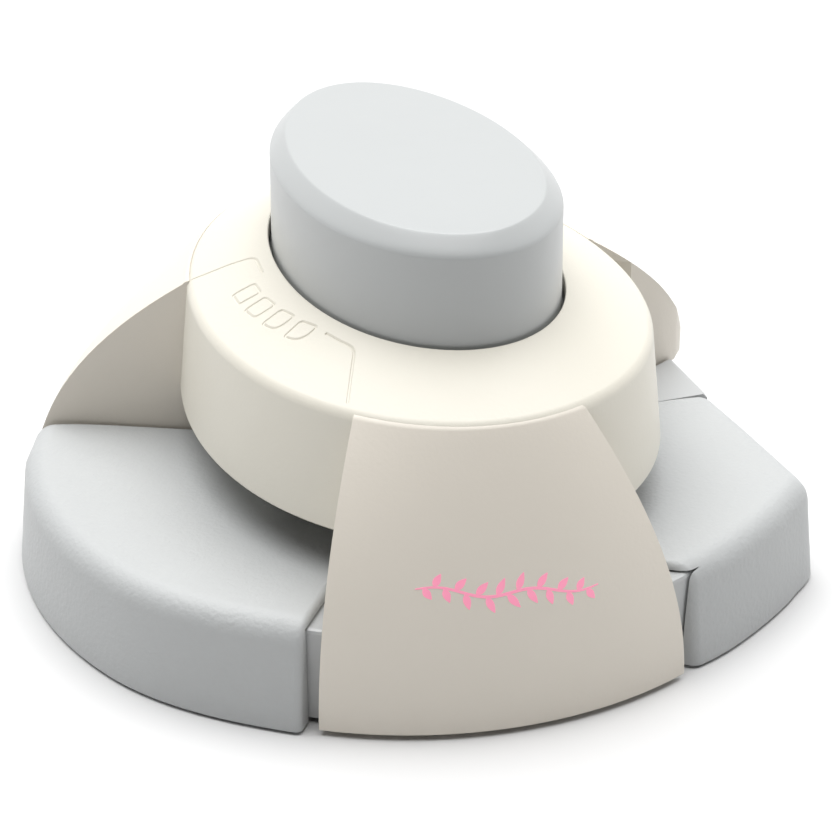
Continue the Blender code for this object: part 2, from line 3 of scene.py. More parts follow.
import bmesh
import bpy
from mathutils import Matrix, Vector


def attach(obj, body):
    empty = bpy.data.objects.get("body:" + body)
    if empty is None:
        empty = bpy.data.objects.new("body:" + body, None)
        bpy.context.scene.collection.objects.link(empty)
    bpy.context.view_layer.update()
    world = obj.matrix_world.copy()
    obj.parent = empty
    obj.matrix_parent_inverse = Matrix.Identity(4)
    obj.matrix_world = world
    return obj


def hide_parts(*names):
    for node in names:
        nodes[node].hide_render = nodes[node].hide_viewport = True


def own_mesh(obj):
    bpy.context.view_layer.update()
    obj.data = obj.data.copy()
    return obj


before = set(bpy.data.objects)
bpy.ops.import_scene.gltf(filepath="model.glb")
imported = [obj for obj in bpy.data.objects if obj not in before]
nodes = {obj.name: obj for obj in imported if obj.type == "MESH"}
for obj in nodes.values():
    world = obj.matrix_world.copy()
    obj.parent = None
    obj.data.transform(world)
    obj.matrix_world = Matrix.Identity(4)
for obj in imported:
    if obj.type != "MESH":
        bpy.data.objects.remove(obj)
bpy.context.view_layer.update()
MM = 0.001          # metres in a millimetre: the numbers below are millimetres
AXIS_X = 3.257      # the tool's upright axis


# Casing ring: the top of the one-piece cream casing. An oval ring, egg shaped in
# plan, injection moulded in cream ABS with a satin surface. Its top slopes up to
# the button's hole, and its wall leans out a little so that it leaves the mould.
EGG = -0.07                   # share of width lost towards the back
HOLE = (18.1, 30.9)           # half sizes of the button's hole
FOOT = (31.4, 43.5)           # half sizes of the ring's foot
RIM_SPREAD, RIM_Z = 0.872, 37.9        # where the top meets the wall
CROWN_SPREAD, CROWN_Z = 0.42, 40.75    # halfway up the sloping top
HOLE_Z, RING_FOOT_Z = 43.0, 21.8


def oval_loop(shape, spread, height, count=192):
    """Loop of edges on the ring's oval: spread 0 is the button hole, 1 the ring's foot."""
    half_x = HOLE[0] + (FOOT[0] - HOLE[0]) * spread
    half_y = HOLE[1] + (FOOT[1] - HOLE[1]) * spread
    circle = bmesh.ops.create_circle(shape, segments=count, radius=1.0, cap_ends=False)["verts"]
    for vertex in circle:
        across, along = vertex.co.x, vertex.co.y
        vertex.co = ((AXIS_X + half_x * across * (1 + EGG * along)) * MM,
                     half_y * along * MM, height * MM)
    return list({edge for vertex in circle for edge in vertex.link_edges})


def bridge_all(shape, loops, closed=False):
    """Joins each loop to the next with one band of faces."""
    pairs = list(zip(loops, loops[1:]))
    if closed:
        pairs.append((loops[-1], loops[0]))
    for lower, upper in pairs:
        bmesh.ops.bridge_loops(shape, edges=lower + upper)


def round_edges(shape, edges, radius, segments, clamp=False):
    """Rounds edges of the shape, by a radius in millimetres."""
    bmesh.ops.bevel(shape, geom=edges, offset=radius * MM, offset_type="OFFSET", segments=segments,
                    profile=0.5, affect="EDGES", material=-1, clamp_overlap=clamp)


def edges_at(shape, height):
    """Edges that lie level at a height."""
    return [edge for edge in shape.edges
            if all(abs(vertex.co.z - height * MM) < 1e-6 for vertex in edge.verts)]


def make_piece(name, shape, finish, weighted=True):
    """Mesh object at the origin, smooth, with its flats kept flat."""
    mesh = bpy.data.meshes.new(name)
    shape.to_mesh(mesh)
    shape.free()
    mesh.shade_smooth()
    mesh.set_sharp_from_angle(angle=math.radians(40))
    mesh.materials.append(finish)
    piece = bpy.data.objects.new(name, mesh)
    bpy.context.scene.collection.objects.link(piece)
    if weighted:
        even = piece.modifiers.new("Even flats", "WEIGHTED_NORMAL")
        even.keep_sharp = True
    return piece


def noise(tree, vector, scale, detail):
    """Factor of a noise texture that is read through a vector socket."""
    texture = tree.nodes.new("ShaderNodeTexNoise")
    texture.inputs["Scale"].default_value = scale
    texture.inputs["Detail"].default_value = detail
    tree.links.new(vector, texture.inputs["Vector"])
    return texture.outputs["Fac"]


def moulded_plastic(name, colour, roughness, spread, grain=0.00002, grain_size=1800.0, coat=0.0):
    """Injection-moulded plastic: faint mottling, a fine skin grain and uneven gloss."""
    made = bpy.data.materials.new(name)
    made.use_nodes = True
    nodes_here = made.node_tree.nodes
    wire = made.node_tree.links.new
    shader = nodes_here["Principled BSDF"]
    place = nodes_here.new("ShaderNodeTexCoord")

    mottle = noise(made.node_tree, place.outputs["Object"], 90.0, 3.0)
    tint = nodes_here.new("ShaderNodeMix")
    tint.data_type = "RGBA"
    tint.inputs[6].default_value = (*[c * (1 - spread) for c in colour], 1.0)
    tint.inputs[7].default_value = (*[min(c * (1 + spread), 1.0) for c in colour], 1.0)
    wire(mottle, tint.inputs[0])
    wire(tint.outputs[2], shader.inputs["Base Color"])

    sheen = noise(made.node_tree, place.outputs["Object"], 260.0, 4.0)
    gloss = nodes_here.new("ShaderNodeMapRange")
    gloss.inputs["To Min"].default_value = roughness - 0.05
    gloss.inputs["To Max"].default_value = roughness + 0.07
    wire(sheen, gloss.inputs["Value"])
    wire(gloss.outputs["Result"], shader.inputs["Roughness"])

    skin = noise(made.node_tree, place.outputs["Object"], grain_size, 2.0)
    relief = nodes_here.new("ShaderNodeBump")
    relief.inputs["Strength"].default_value = 1.0
    relief.inputs["Distance"].default_value = grain
    wire(skin, relief.inputs["Height"])
    wire(relief.outputs["Normal"], shader.inputs["Normal"])
    shader.inputs["IOR"].default_value = 1.5
    shader.inputs["Coat Weight"].default_value = coat
    shader.inputs["Coat Roughness"].default_value = 0.25
    return made


# The ring's copy of the cream is a shade darker than the legs' copy: painted shade that keeps its
# brightly lit top from washing out.
cream = moulded_plastic("cream casing", (0.725, 0.695, 0.61), 0.42, spread=0.012)

ring = bmesh.new()
outer_foot = oval_loop(ring, 1.0, RING_FOOT_Z)
rim = oval_loop(ring, RIM_SPREAD, RIM_Z)
crown = oval_loop(ring, CROWN_SPREAD, CROWN_Z)
hole_edge = oval_loop(ring, 0.0, HOLE_Z)
hole_low = oval_loop(ring, 0.0, 40.8)
ceiling = oval_loop(ring, 0.7, 35.8)
inner_foot = oval_loop(ring, 0.865, RING_FOOT_Z)
bridge_all(ring, [outer_foot, rim, crown, hole_edge, hole_low, ceiling, inner_foot], True)
bmesh.ops.recalc_face_normals(ring, faces=ring.faces)
round_edges(ring, rim, 1.0, 5)
round_edges(ring, edges_at(ring, HOLE_Z), 0.35, 3)
round_edges(ring, edges_at(ring, RING_FOOT_Z), 0.35, 3)
casing_ring = make_piece("casing_ring", ring, cream)


# Debossed panel on the ring over the left table: a hairline groove that turns round
# short of the hole, and a row of four square tiles, each with one corner rounded more
# than the last, pressed into the ring a sixth of a millimetre deep.
GROOVE_DEPTH = 0.16
GROOVE_SECTION = ((-0.09, -GROOVE_DEPTH), (0.09, -GROOVE_DEPTH), (0.42, 0.3), (-0.42, 0.3))
PANEL_INNER = (20.24, 34.55)      # half sizes of the oval where the panel ends


def solid_cutter(name, shape):
    """Object that carve takes away from a piece."""
    mesh = bpy.data.meshes.new(name)
    bmesh.ops.recalc_face_normals(shape, faces=shape.faces)
    shape.to_mesh(mesh)
    shape.free()
    cutter = bpy.data.objects.new(name, mesh)
    bpy.context.scene.collection.objects.link(cutter)
    return cutter


def carve(piece, cutters):
    """Cuts the shapes out of the piece for good and removes them."""
    for cutter in cutters:
        step = piece.modifiers.new("Cut " + cutter.name, "BOOLEAN")
        step.operation = "DIFFERENCE"
        step.solver = "EXACT"
        step.object = cutter
        piece.modifiers.move(len(piece.modifiers) - 1, 0)
        bpy.context.view_layer.update()
    kept = bpy.data.meshes.new_from_object(
        piece.evaluated_get(bpy.context.evaluated_depsgraph_get()))
    for step in [m for m in piece.modifiers if m.type == "BOOLEAN"]:
        piece.modifiers.remove(step)
    piece.data = kept
    for cutter in cutters:
        bpy.data.objects.remove(cutter, do_unlink=True)


def ring_height(x, y):
    """Height of the ring's sloping top over a plan point."""
    low, high = 0.0, 1.0
    for _ in range(24):
        spread = (low + high) / 2
        half_x = HOLE[0] + (FOOT[0] - HOLE[0]) * spread
        along = y / (HOLE[1] + (FOOT[1] - HOLE[1]) * spread)
        if (x / (half_x * (1 + EGG * along))) ** 2 + along ** 2 < 1:
            high = spread
        else:
            low = spread
    if spread > CROWN_SPREAD:
        share = (spread - CROWN_SPREAD) / (RIM_SPREAD - CROWN_SPREAD)
        return CROWN_Z - (CROWN_Z - RIM_Z) * share
    return HOLE_Z - (HOLE_Z - CROWN_Z) * spread / CROWN_SPREAD


def groove_cutter(name, path, closed):
    """Rod of tapered section that follows a plan path along the ring's top."""
    shape = bmesh.new()
    rows = []
    for index, (x, y) in enumerate(path):
        before = path[index - 1] if index or closed else path[index]
        after = path[(index + 1) % len(path)] if index + 1 < len(path) or closed else path[index]
        heading = Vector((after[0] - before[0], after[1] - before[1])).normalized()
        across = Vector((heading.y, -heading.x))
        level = ring_height(x, y)
        rows.append([shape.verts.new(((x + AXIS_X + side * across.x) * MM,
                                      (y + side * across.y) * MM, (level + rise) * MM))
                     for side, rise in GROOVE_SECTION])
    for near, far in zip(rows, rows[1:] + rows[:1] if closed else rows[1:]):
        for i in range(4):
            shape.faces.new((near[i], near[(i + 1) % 4], far[(i + 1) % 4], far[i]))
    if not closed:
        shape.faces.new(rows[0])
        shape.faces.new(rows[-1][::-1])
    return solid_cutter(name, shape)


def inner_edge(degrees):
    """Point beside the hole, where the panel ends."""
    lean = math.radians(degrees)
    return (PANEL_INNER[0] * math.cos(lean) * (1 + EGG * math.sin(lean)),
            PANEL_INNER[1] * math.sin(lean))


def rounded_turn(start, corner, end, count=6):
    """Curved turn from start to end that bends towards the corner."""
    return [tuple((1 - t) ** 2 * a + 2 * t * (1 - t) * b + t * t * c
                  for a, b, c in zip(start, corner, end))
            for t in [step / count for step in range(count + 1)]]


def straight(start, end, count):
    """Points of a straight run, without its end."""
    return [(start[0] + (end[0] - start[0]) * step / count,
             start[1] + (end[1] - start[1]) * step / count) for step in range(count)]


def tile_path(centre, outward, radius, half=1.5, small=0.5):
    """Outline of a square tile with one outward corner rounded and the others nearly sharp."""
    points = []
    turned = (-outward[1], outward[0])
    for a, b, bend in ((1, 1, radius), (-1, 1, small), (-1, -1, small), (1, -1, small)):
        upright = (half * a, (half - bend) * b)
        level = ((half - bend) * a, half * b)
        first, last = (upright, level) if a * b > 0 else (level, upright)
        points += rounded_turn(first, (half * a, half * b), last, 8)
    return [(centre[0] + u * outward[0] + v * turned[0],
             centre[1] + u * outward[1] + v * turned[1]) for u, v in points]


left_line = straight((-29.6, 11.9), (-20.9, 7.66), 8)
left_line += rounded_turn((-20.9, 7.66), (-19.55, 7.0), inner_edge(171.5))
left_line += [inner_edge(turn) for turn in (173, 174.5, 176, 177.5)]
right_line = straight((-19.0, -31.3), (-16.0, -24.8), 8)
right_line += rounded_turn((-16.0, -24.8), (-15.45, -23.65), inner_edge(220.5))
right_line += [inner_edge(turn) for turn in (218.5, 216.5, 214.5, 212.5)]
# Centre, outward direction and corner radius of each tile.
tiles = {"tile_1": ((-23.3, -1.6), (-1.0, 0.0), 0.5),
         "tile_2": ((-22.9, -6.5), (-0.985, -0.17), 1.1),
         "tile_3": ((-21.8, -11.3), (-0.95, -0.31), 1.7),
         "tile_4": ((-20.2, -15.9), (-0.90, -0.436), 2.3)}
cutters = [groove_cutter("left_line", left_line, False),
           groove_cutter("right_line", right_line, False)]
cutters += [groove_cutter(name, tile_path(*tile), True) for name, tile in tiles.items()]
carve(casing_ring, cutters)
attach(casing_ring, "base")
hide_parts("upper_casing")


# Legs: three flared feet that are part of the same cream moulding. Each is a slice
# of one bell-shaped body that runs from the ring's rim out to the round base, with
# straight sides and slightly softened edges.
SKIRT = 52.7           # reach of the legs' feet from the axis
BELL_OFFSET = 0.1      # the legs' skin stands this far inside the rim
FLARE = 12.8           # reach beyond the rim that each leg's fullness is given for
FLARE_GAIN = 0.06      # added fullness per millimetre beyond it
BASE_REACH = 50.5      # radius of the round base and the gap round it
BASE_TOP = 14.1        # top of the base's deck


def rim_reach(turn):
    """Distance from the axis to the rim's oval in a direction."""
    half_x = HOLE[0] + (FOOT[0] - HOLE[0]) * RIM_SPREAD
    half_y = HOLE[1] + (FOOT[1] - HOLE[1]) * RIM_SPREAD
    lean = turn
    for _ in range(8):
        across = half_x * (1 + EGG * math.sin(lean))
        lean = math.atan2(math.sin(turn) / half_y, math.cos(turn) / across)
    across = half_x * math.cos(lean) * (1 + EGG * math.sin(lean))
    return math.hypot(across, half_y * math.sin(lean))


def bell_reach(turn, height, skirt, fullness):
    """Distance from the axis to the flared skin."""
    start = rim_reach(turn)
    power = fullness + FLARE_GAIN * (SKIRT - start - FLARE)
    return start + (skirt - start) * (1 - (height / RIM_Z) ** power) - BELL_OFFSET


def bell_loop(shape, height, skirt, fullness, count=288):
    """Loop of edges round the bell at a height."""
    circle = bmesh.ops.create_circle(shape, segments=count, radius=1.0, cap_ends=False)["verts"]
    for vertex in circle:
        turn = math.atan2(vertex.co.y, vertex.co.x)
        reach = bell_reach(turn, height, skirt, fullness)
        vertex.co = ((AXIS_X + reach * math.cos(turn)) * MM, reach * math.sin(turn) * MM,
                     height * MM)
    return list({edge for vertex in circle for edge in vertex.link_edges})


def close_holes(shape):
    """Fills each open boundary with one face."""
    bmesh.ops.holes_fill(shape, edges=[e for e in shape.edges if e.is_boundary], sides=0)


def slice_off(shape, start, end):
    """Cuts along the upright plane through two plan points and keeps what is on its left."""
    along = Vector((end[0] - start[0], end[1] - start[1], 0.0)).normalized()
    outward = Vector((along.y, -along.x, 0.0))
    corner = Vector(((start[0] + AXIS_X) * MM, start[1] * MM, 0.0))
    bmesh.ops.bisect_plane(shape, geom=shape.verts[:] + shape.edges[:] + shape.faces[:],
                           plane_co=corner, plane_no=outward, clear_outer=True, dist=1e-7)
    close_holes(shape)


def under_ring_cutter():
    """The space inside the ring, from the deck up."""
    shape = bmesh.new()
    loops = [oval_loop(shape, 0.85, 10.0, 96), oval_loop(shape, 0.85, 45.0, 96)]
    bridge_all(shape, loops)
    close_holes(shape)
    return solid_cutter("under_ring", shape)


def round_base():
    """Disc that holds the base and the gap round it, up to the deck."""
    shape = bmesh.new()
    depth = 30.0
    bmesh.ops.create_cone(shape, cap_ends=True, segments=192, radius1=BASE_REACH * MM,
                          radius2=BASE_REACH * MM, depth=depth * MM)
    lift = BASE_TOP - depth / 2
    bmesh.ops.translate(shape, verts=shape.verts, vec=(AXIS_X * MM, 0, lift * MM))
    return shape


# Foot height, reach, fullness and edge radius of each leg, then the plan lines of its two
# sides, which keep what is on their left.
leg_sides = {
    "front": (0.9, SKIRT, 2.0, 0.45,
              [(20.5, -48.5), (8.2, -39.8)], [(-19.3, -33.9), (-27.5, -44.6)]),
    "left_back": (0.9, 54.2, 1.9, 0.45,
                  [(-46.8, 20.3), (-14.0, 4.3)], [(-12.0, 30.0), (-23.3, 59.4)]),
    "right_back": (BASE_TOP, SKIRT, 2.0, 1.2,
                   [(41.3, 60.0), (18.0, 26.0)],
                   [(18.0, 5.0), (36.0, 6.6), (41.5, 8.4), (45.4, 10.5), (47.6, 13.2),
                    (48.6, 17.0), (49.0, 26.0), (47.0, 60.0)]),
}
# Where each leg's top turns over: the rise of each loop from the rim and its way inwards.
top_turn = ((-0.24, 0.24), (-0.05, 0.55), (0.1, 0.9), (0.2, 1.4), (0.2, 2.2))
# The legs take a lighter, warmer copy of the same cream: painted light that brightens their shaded
# sides.
leg_cream_lightened_for_shade = moulded_plastic("cream legs lightened for shade", (0.755, 0.705, 0.625), 0.42, spread=0.012)
for leg_name, (low, skirt, fullness, rounding, first, second) in leg_sides.items():
    leg = bmesh.new()
    bell_top = RIM_Z - 0.5
    levels = [low + (bell_top - low) * step / 22 for step in range(23)]
    loops = [bell_loop(leg, level, skirt, fullness) for level in levels]
    for rise, inward in top_turn:
        loops.append(bell_loop(leg, bell_top, skirt, fullness))
        for vertex in {v for e in loops[-1] for v in e.verts}:
            plan = Vector((vertex.co.x - AXIS_X * MM, vertex.co.y))
            plan = plan * (1 - inward * MM / plan.length)
            vertex.co = (plan.x + AXIS_X * MM, plan.y, (RIM_Z + rise) * MM)
    bridge_all(leg, loops)
    close_holes(leg)
    bmesh.ops.recalc_face_normals(leg, faces=leg.faces)
    for side in (first, second):
        for start, end in zip(side, side[1:]):
            slice_off(leg, start, end)
    bmesh.ops.recalc_face_normals(leg, faces=leg.faces)
    sharp = [e for e in leg.edges if len(e.link_faces) == 2
             and e.calc_face_angle() > math.radians(35)
             and min(v.co.z for v in e.verts) < 37.0 * MM]
    round_edges(leg, sharp, rounding, 5, clamp=True)
    casing_leg = make_piece("casing_leg_" + leg_name, leg, leg_cream_lightened_for_shade)
    carve(casing_leg, [under_ring_cutter(), solid_cutter("round_base", round_base())])
    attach(casing_leg, "base")
    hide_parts("upper_casing")


# Ornament: a plain stem with small leaves, pad printed in bright pink on the front leg,
# thin enough to follow the flare of the leg.
DEGREES_PER_MM = 1.17      # round the axis, where the ornament is
LEAVES = 17
STEM_START, STEM_SWEEP = -108.5, 27.0          # degrees round the axis
STEM_Z, STEM_DROP, STEM_WAVE, STEM_LENGTH = 20.0, 2.3, 0.45, 22.6


def glowing_printed_ink(name, colour):
    """Opaque ink with a faint grain and a faint painted glow, so that it holds its colour in the
    leg's shade.
    """
    ink = bpy.data.materials.new(name)
    ink.use_nodes = True
    shader = ink.node_tree.nodes["Principled BSDF"]
    place = ink.node_tree.nodes.new("ShaderNodeTexCoord")
    grain = noise(ink.node_tree, place.outputs["Object"], 2500.0, 2.0)
    tint = ink.node_tree.nodes.new("ShaderNodeValToRGB")
    tint.color_ramp.elements[0].color = [0.93 * c for c in colour] + [1.0]
    tint.color_ramp.elements[1].color = list(colour) + [1.0]
    ink.node_tree.links.new(grain, tint.inputs[0])
    ink.node_tree.links.new(tint.outputs["Color"], shader.inputs["Base Color"])
    shader.inputs["Roughness"].default_value = 0.38
    # The emission is a painted glow that keeps the pink bright in the leg's shade.
    shader.inputs["Emission Color"].default_value = (*colour, 1.0)
    shader.inputs["Emission Strength"].default_value = 0.22
    return ink


def on_leg(around, height, lift):
    """Point on the front leg, given degrees round the axis and height."""
    turn = math.radians(around)
    reach = bell_reach(turn, height, SKIRT, leg_sides["front"][2]) + lift
    return ((AXIS_X + reach * math.cos(turn)) * MM, reach * math.sin(turn) * MM, height * MM)


def print_patch(shape, columns, outline):
    """Lays one inked patch on the leg; outline gives its middle, half width and angle."""
    rows = []
    for step in range(columns + 1):
        around, middle, half, lean = outline(step / columns)
        shift = half * math.sin(lean) * DEGREES_PER_MM
        rows.append([shape.verts.new(on_leg(around - side * shift,
                                            middle + side * half * math.cos(lean), lift))
                     for lift in (0.03, -0.05) for side in (-1.0, 0.0, 1.0)])
    rings = [[row[i] for i in (0, 1, 2, 5, 4, 3)] for row in rows]
    for near, far in zip(rings, rings[1:]):
        for i in range(6):
            shape.faces.new((near[i], near[(i + 1) % 6], far[(i + 1) % 6], far[i]))
    shape.faces.new(rings[0])
    shape.faces.new(rings[-1][::-1])


def stem(share):
    """Stem that waves twice on its way down the leg, thinner towards its ends."""
    turns = 4 * math.pi
    around = STEM_START + STEM_SWEEP * share
    middle = STEM_Z - STEM_DROP * share + STEM_WAVE * math.sin(turns * share)
    slope = (-STEM_DROP + STEM_WAVE * turns * math.cos(turns * share)) / STEM_LENGTH
    half = 0.05 + 0.12 * math.sin(math.pi * share) ** 0.5
    return around, middle, half, math.atan(slope)


ornament = bmesh.new()
print_patch(ornament, 120, stem)
for number in range(LEAVES):
    root_around, root_height, _, root_lean = stem((number + 0.7) / (LEAVES + 1))
    side = 1 if number % 2 else -1
    spread = root_lean + side * math.radians(58)
    length = 2.3 - 0.35 * abs(number - LEAVES // 2) / 4

    def leaf(share):
        """Leaf that is widest short of its middle and points away from the stem."""
        along = 0.12 + length * share
        half = 0.04 + 0.42 * math.sin(math.pi * share ** 0.8)
        return (root_around + along * math.cos(spread) * DEGREES_PER_MM,
                root_height + along * math.sin(spread), half, spread)

    print_patch(ornament, 14, leaf)
bmesh.ops.recalc_face_normals(ornament, faces=ornament.faces)
glowing_pink_print = glowing_printed_ink("pink print painted glow", (1.0, 0.34, 0.50))
leg_print = make_piece("front_leg_ornament", ornament, glowing_pink_print)
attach(leg_print, "base")


# Push button: a hollow oval cap in light grey ABS, polished tool finish, pressed by
# the palm. Its wall leans in slightly, a wide soft slope eases its top edge, and a
# flange at its foot stays under the ring so that it can't come out.
BUTTON_HALF = (17.8, 30.6)        # half sizes at the foot
BUTTON_FOOT = 36.6
WALL_LEAN, WALL_HEIGHT = 0.1, 18.3
button_grey = moulded_plastic("button grey", (0.46, 0.475, 0.475), 0.35, spread=0.01, coat=0.2,
                              grain=0.000006)


def button_loop(shape, grow, height, count=224):
    """Loop of edges round the button at a height, grown from its wall."""
    circle = bmesh.ops.create_circle(shape, segments=count, radius=1.0, cap_ends=False)["verts"]
    lean = WALL_LEAN * (height - BUTTON_FOOT) / WALL_HEIGHT
    half_x, half_y = BUTTON_HALF[0] - lean + grow, BUTTON_HALF[1] - 4.0 * lean + grow
    for vertex in circle:
        across, along = vertex.co.x, vertex.co.y
        vertex.co = ((AXIS_X + half_x * across * (1 + EGG * along)) * MM,
                     half_y * along * MM, height * MM)
    return list({edge for vertex in circle for edge in vertex.link_edges})


# Growth from the wall and height of the loops, from the foot up.
flange = ((-2.1, BUTTON_FOOT), (-0.1, 36.65), (-0.1, 37.3), (1.7, 37.4), (1.75, 37.5),
          (1.75, 39.0), (1.6, 39.15), (-0.1, 39.3))
wall = ((-0.1, 46.0), (-0.1, 52.0), (-0.1, 54.6))
shoulder = ((-0.14, 54.75), (-0.26, 55.0), (-0.46, 55.28), (-0.72, 55.58), (-1.02, 55.9),
            (-1.36, 56.24), (-1.72, 56.6), (-2.06, 56.92), (-2.2, 57.04), (-2.3, 57.12))
top = ((-2.42, 57.17), (-2.58, 57.19), (-3.0, 57.21), (-5.0, 57.27), (-8.0, 57.33),
       (-11.0, 57.37), (-14.0, 57.39))
cap = bmesh.new()
loops = [button_loop(cap, grow, height) for grow, height in flange + wall + shoulder + top]
bridge_all(cap, loops)
bmesh.ops.holes_fill(cap, edges=loops[-1], sides=0)
inside = [loops[0], button_loop(cap, -2.2, 45.0), button_loop(cap, -2.8, 54.6)]
bridge_all(cap, inside)
bmesh.ops.holes_fill(cap, edges=inside[-1], sides=0)
bmesh.ops.recalc_face_normals(cap, faces=cap.faces)
button = make_piece("oval_button", cap, button_grey)
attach(button, "press")
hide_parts("push_button")


# Paper tables: three light grey covers hooked over the base's edge, moulded with a
# fine spark-eroded texture so that paper slides on them. Their outer top edges are
# well rounded, and each meets the legs with a narrow gap.
TABLE_FOOT, TABLE_TOP = 0.5, 15.2
BASE_FLAT_X = 43.9         # the base's straight right-hand side
table_grey = moulded_plastic("table grey", (0.475, 0.487, 0.488), 0.46, spread=0.015,
                             grain=0.00009, grain_size=1500.0)


def sweep(first, last, start, end, count):
    """Arc between two bearings, whose radius eases from one value to another."""
    points = []
    for step in range(count + 1):
        share = step / count
        radius = first + (last - first) * share * share * (3 - 2 * share)
        turn = math.radians(start + (end - start) * share)
        points.append((radius * math.cos(turn), radius * math.sin(turn)))
    return points


def flat_sided_base():
    """The round base with its straight right-hand side."""
    shape = round_base()
    geometry = shape.verts[:] + shape.edges[:] + shape.faces[:]
    bmesh.ops.bisect_plane(shape, geom=geometry, plane_co=((AXIS_X + BASE_FLAT_X) * MM, 0, 0),
                           plane_no=(1, 0, 0), clear_outer=True)
    close_holes(shape)
    return solid_cutter("flat_sided_base", shape)


def from_axis(vertex):
    """Plan vector from the tool's axis to a vertex."""
    return Vector((vertex.co.x - AXIS_X * MM, vertex.co.y))


# Draft and edge radius of each table, its outer outline, and the part of it that the ring
# and the legs hide.
table_outlines = {
    "left_table": (
        1.6, 3.0,
        sweep(53.3, 54.8, 236, 206, 28) + sweep(54.8, 54.8, 205, 165, 32)
        + [(-51.3, 18.0), (-49.9, 21.3)],
        [(-25.2, 9.3), (-26.9, 3.4), (-22.7, -14.9), (-15.9, -26.0)]),
    "right_table": (
        1.6, 3.0,
        [(23.0, -47.1), (25.8, -46.15), (28.5, -45.0), (31.2, -43.6), (33.8, -42.1),
         (36.4, -40.5), (38.9, -38.8), (41.3, -37.05), (43.5, -35.2), (45.3, -33.8),
         (46.7, -32.5), (47.5, -31.5), (47.9, -30.5), (48.0, -29.2), (47.8, -23.0),
         (47.4, -13.0), (46.8, -3.2)],
        [(26.9, -3.2), (18.3, -20.2), (7.4, -36.2), (9.6, -37.6)]),
    "rear_table": (
        1.2, 2.6,
        sweep(52.6, 52.6, 57, 109, 40),
        [(-11.0, 31.9), (-5.9, 26.8), (12.2, 24.6), (18.0, 27.4)]),
}
for table_name, (draft, rounding, outside, hidden) in table_outlines.items():
    cover = bmesh.new()
    corners = [cover.verts.new(((x + AXIS_X) * MM, y * MM, TABLE_FOOT * MM))
               for x, y in outside + hidden]
    underside = cover.faces.new(corners)
    raised = bmesh.ops.extrude_face_region(cover, geom=[underside])["geom"]
    top_verts = [v for v in raised if isinstance(v, bmesh.types.BMVert)]
    bmesh.ops.translate(cover, verts=top_verts, vec=(0, 0, (TABLE_TOP - TABLE_FOOT) * MM))
    for vertex in top_verts:
        plan = from_axis(vertex)
        if plan.length > 42.0 * MM:
            plan = plan * (1 - draft * MM / plan.length)
            vertex.co.x, vertex.co.y = plan.x + AXIS_X * MM, plan.y
    bmesh.ops.recalc_face_normals(cover, faces=cover.faces)
    outer = [e for e in cover.edges if all(v.co.z > 15.0 * MM for v in e.verts)
             and all(from_axis(v).length > 43.0 * MM for v in e.verts)]
    round_edges(cover, outer, rounding, 9)
    ends = [e for e in cover.edges if len(e.link_faces) == 2
            and e.calc_face_angle() > math.radians(50)
            and all(from_axis(v).length > 30.0 * MM for v in e.verts)
            and max(v.co.z for v in e.verts) > 2.0 * MM]
    round_edges(cover, ends, 0.8, 4, clamp=True)
    table = make_piece(table_name + "_cover", cover, table_grey)
    carve(table, [flat_sided_base()])
    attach(table, "base")
    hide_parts(table_name)


# Base: the grey tub under the tables, with its bottom plate and chip door, injection
# moulded in grey ABS. It is smoother than the tables and shows beside the legs.
base_grey = moulded_plastic("base grey", (0.47, 0.48, 0.482), 0.34, spread=0.015, coat=0.15)


def refinish(name, finish):
    """Gives a piece of the frame its finish."""
    for slot in nodes[name].material_slots:
        slot.material = finish


for name in ("base_body", "bottom_plate", "chip_door"):
    refinish(name, base_grey)


# Punch gear: nylon carrier, bushes and guide blocks, ground steel punches, dies and
# posts, plated screws and music-wire springs, all under the ring.
nylon = moulded_plastic("natural nylon", (0.78, 0.78, 0.74), 0.45, spread=0.02)


def machined_steel(name, colour, roughness, grain):
    """Steel with fine marks: grain is how close they lie along each axis."""
    made = bpy.data.materials.new(name)
    made.use_nodes = True
    nodes_here = made.node_tree.nodes
    wire = made.node_tree.links.new
    shader = nodes_here["Principled BSDF"]
    shader.inputs["Metallic"].default_value = 1.0
    place = nodes_here.new("ShaderNodeTexCoord")
    stretch = nodes_here.new("ShaderNodeMapping")
    stretch.inputs["Scale"].default_value = grain
    wire(place.outputs["Object"], stretch.inputs["Vector"])
    marks = noise(made.node_tree, stretch.outputs["Vector"], 1.0, 4.0)
    tint = nodes_here.new("ShaderNodeMix")
    tint.data_type = "RGBA"
    tint.inputs[6].default_value = (*[c * 0.85 for c in colour], 1.0)
    tint.inputs[7].default_value = (*colour, 1.0)
    wire(marks, tint.inputs[0])
    wire(tint.outputs[2], shader.inputs["Base Color"])
    gloss = nodes_here.new("ShaderNodeMapRange")
    gloss.inputs["To Min"].default_value = roughness - 0.08
    gloss.inputs["To Max"].default_value = roughness + 0.12
    wire(marks, gloss.inputs["Value"])
    wire(gloss.outputs["Result"], shader.inputs["Roughness"])
    relief = nodes_here.new("ShaderNodeBump")
    relief.inputs["Distance"].default_value = 0.000008
    wire(marks, relief.inputs["Height"])
    wire(relief.outputs["Normal"], shader.inputs["Normal"])
    return made


ground_steel = machined_steel("ground steel", (0.66, 0.67, 0.69), 0.28, (4000.0, 400.0, 400.0))
plated_steel = machined_steel("plated steel", (0.55, 0.56, 0.58), 0.32, (900.0, 900.0, 900.0))
for name in nodes:
    if name.endswith(("_guide_block", "_guide_bush", "punch_carrier")):
        refinish(name, nylon)
    elif name.endswith(("_punch", "_die", "_guide_post", "_pin")):
        refinish(name, ground_steel)
    elif "_screw" in name:
        refinish(name, plated_steel)


# Return springs: three coils of round music wire, cold coiled, that stand round the
# posts with their end turns closed. The press shortens them.
SPRING_LOW, SPRING_HIGH, SPRING_TURNS = 12.55, 32.35, 6
COIL_RADIUS, WIRE_RADIUS, WIRE_SIDES, STEPS_PER_TURN = 2.75, 0.3, 10, 28
CLOSED_SHARE, CLOSED_RISE = 0.09, 0.5      # share of the wire in a closed end, and its rise


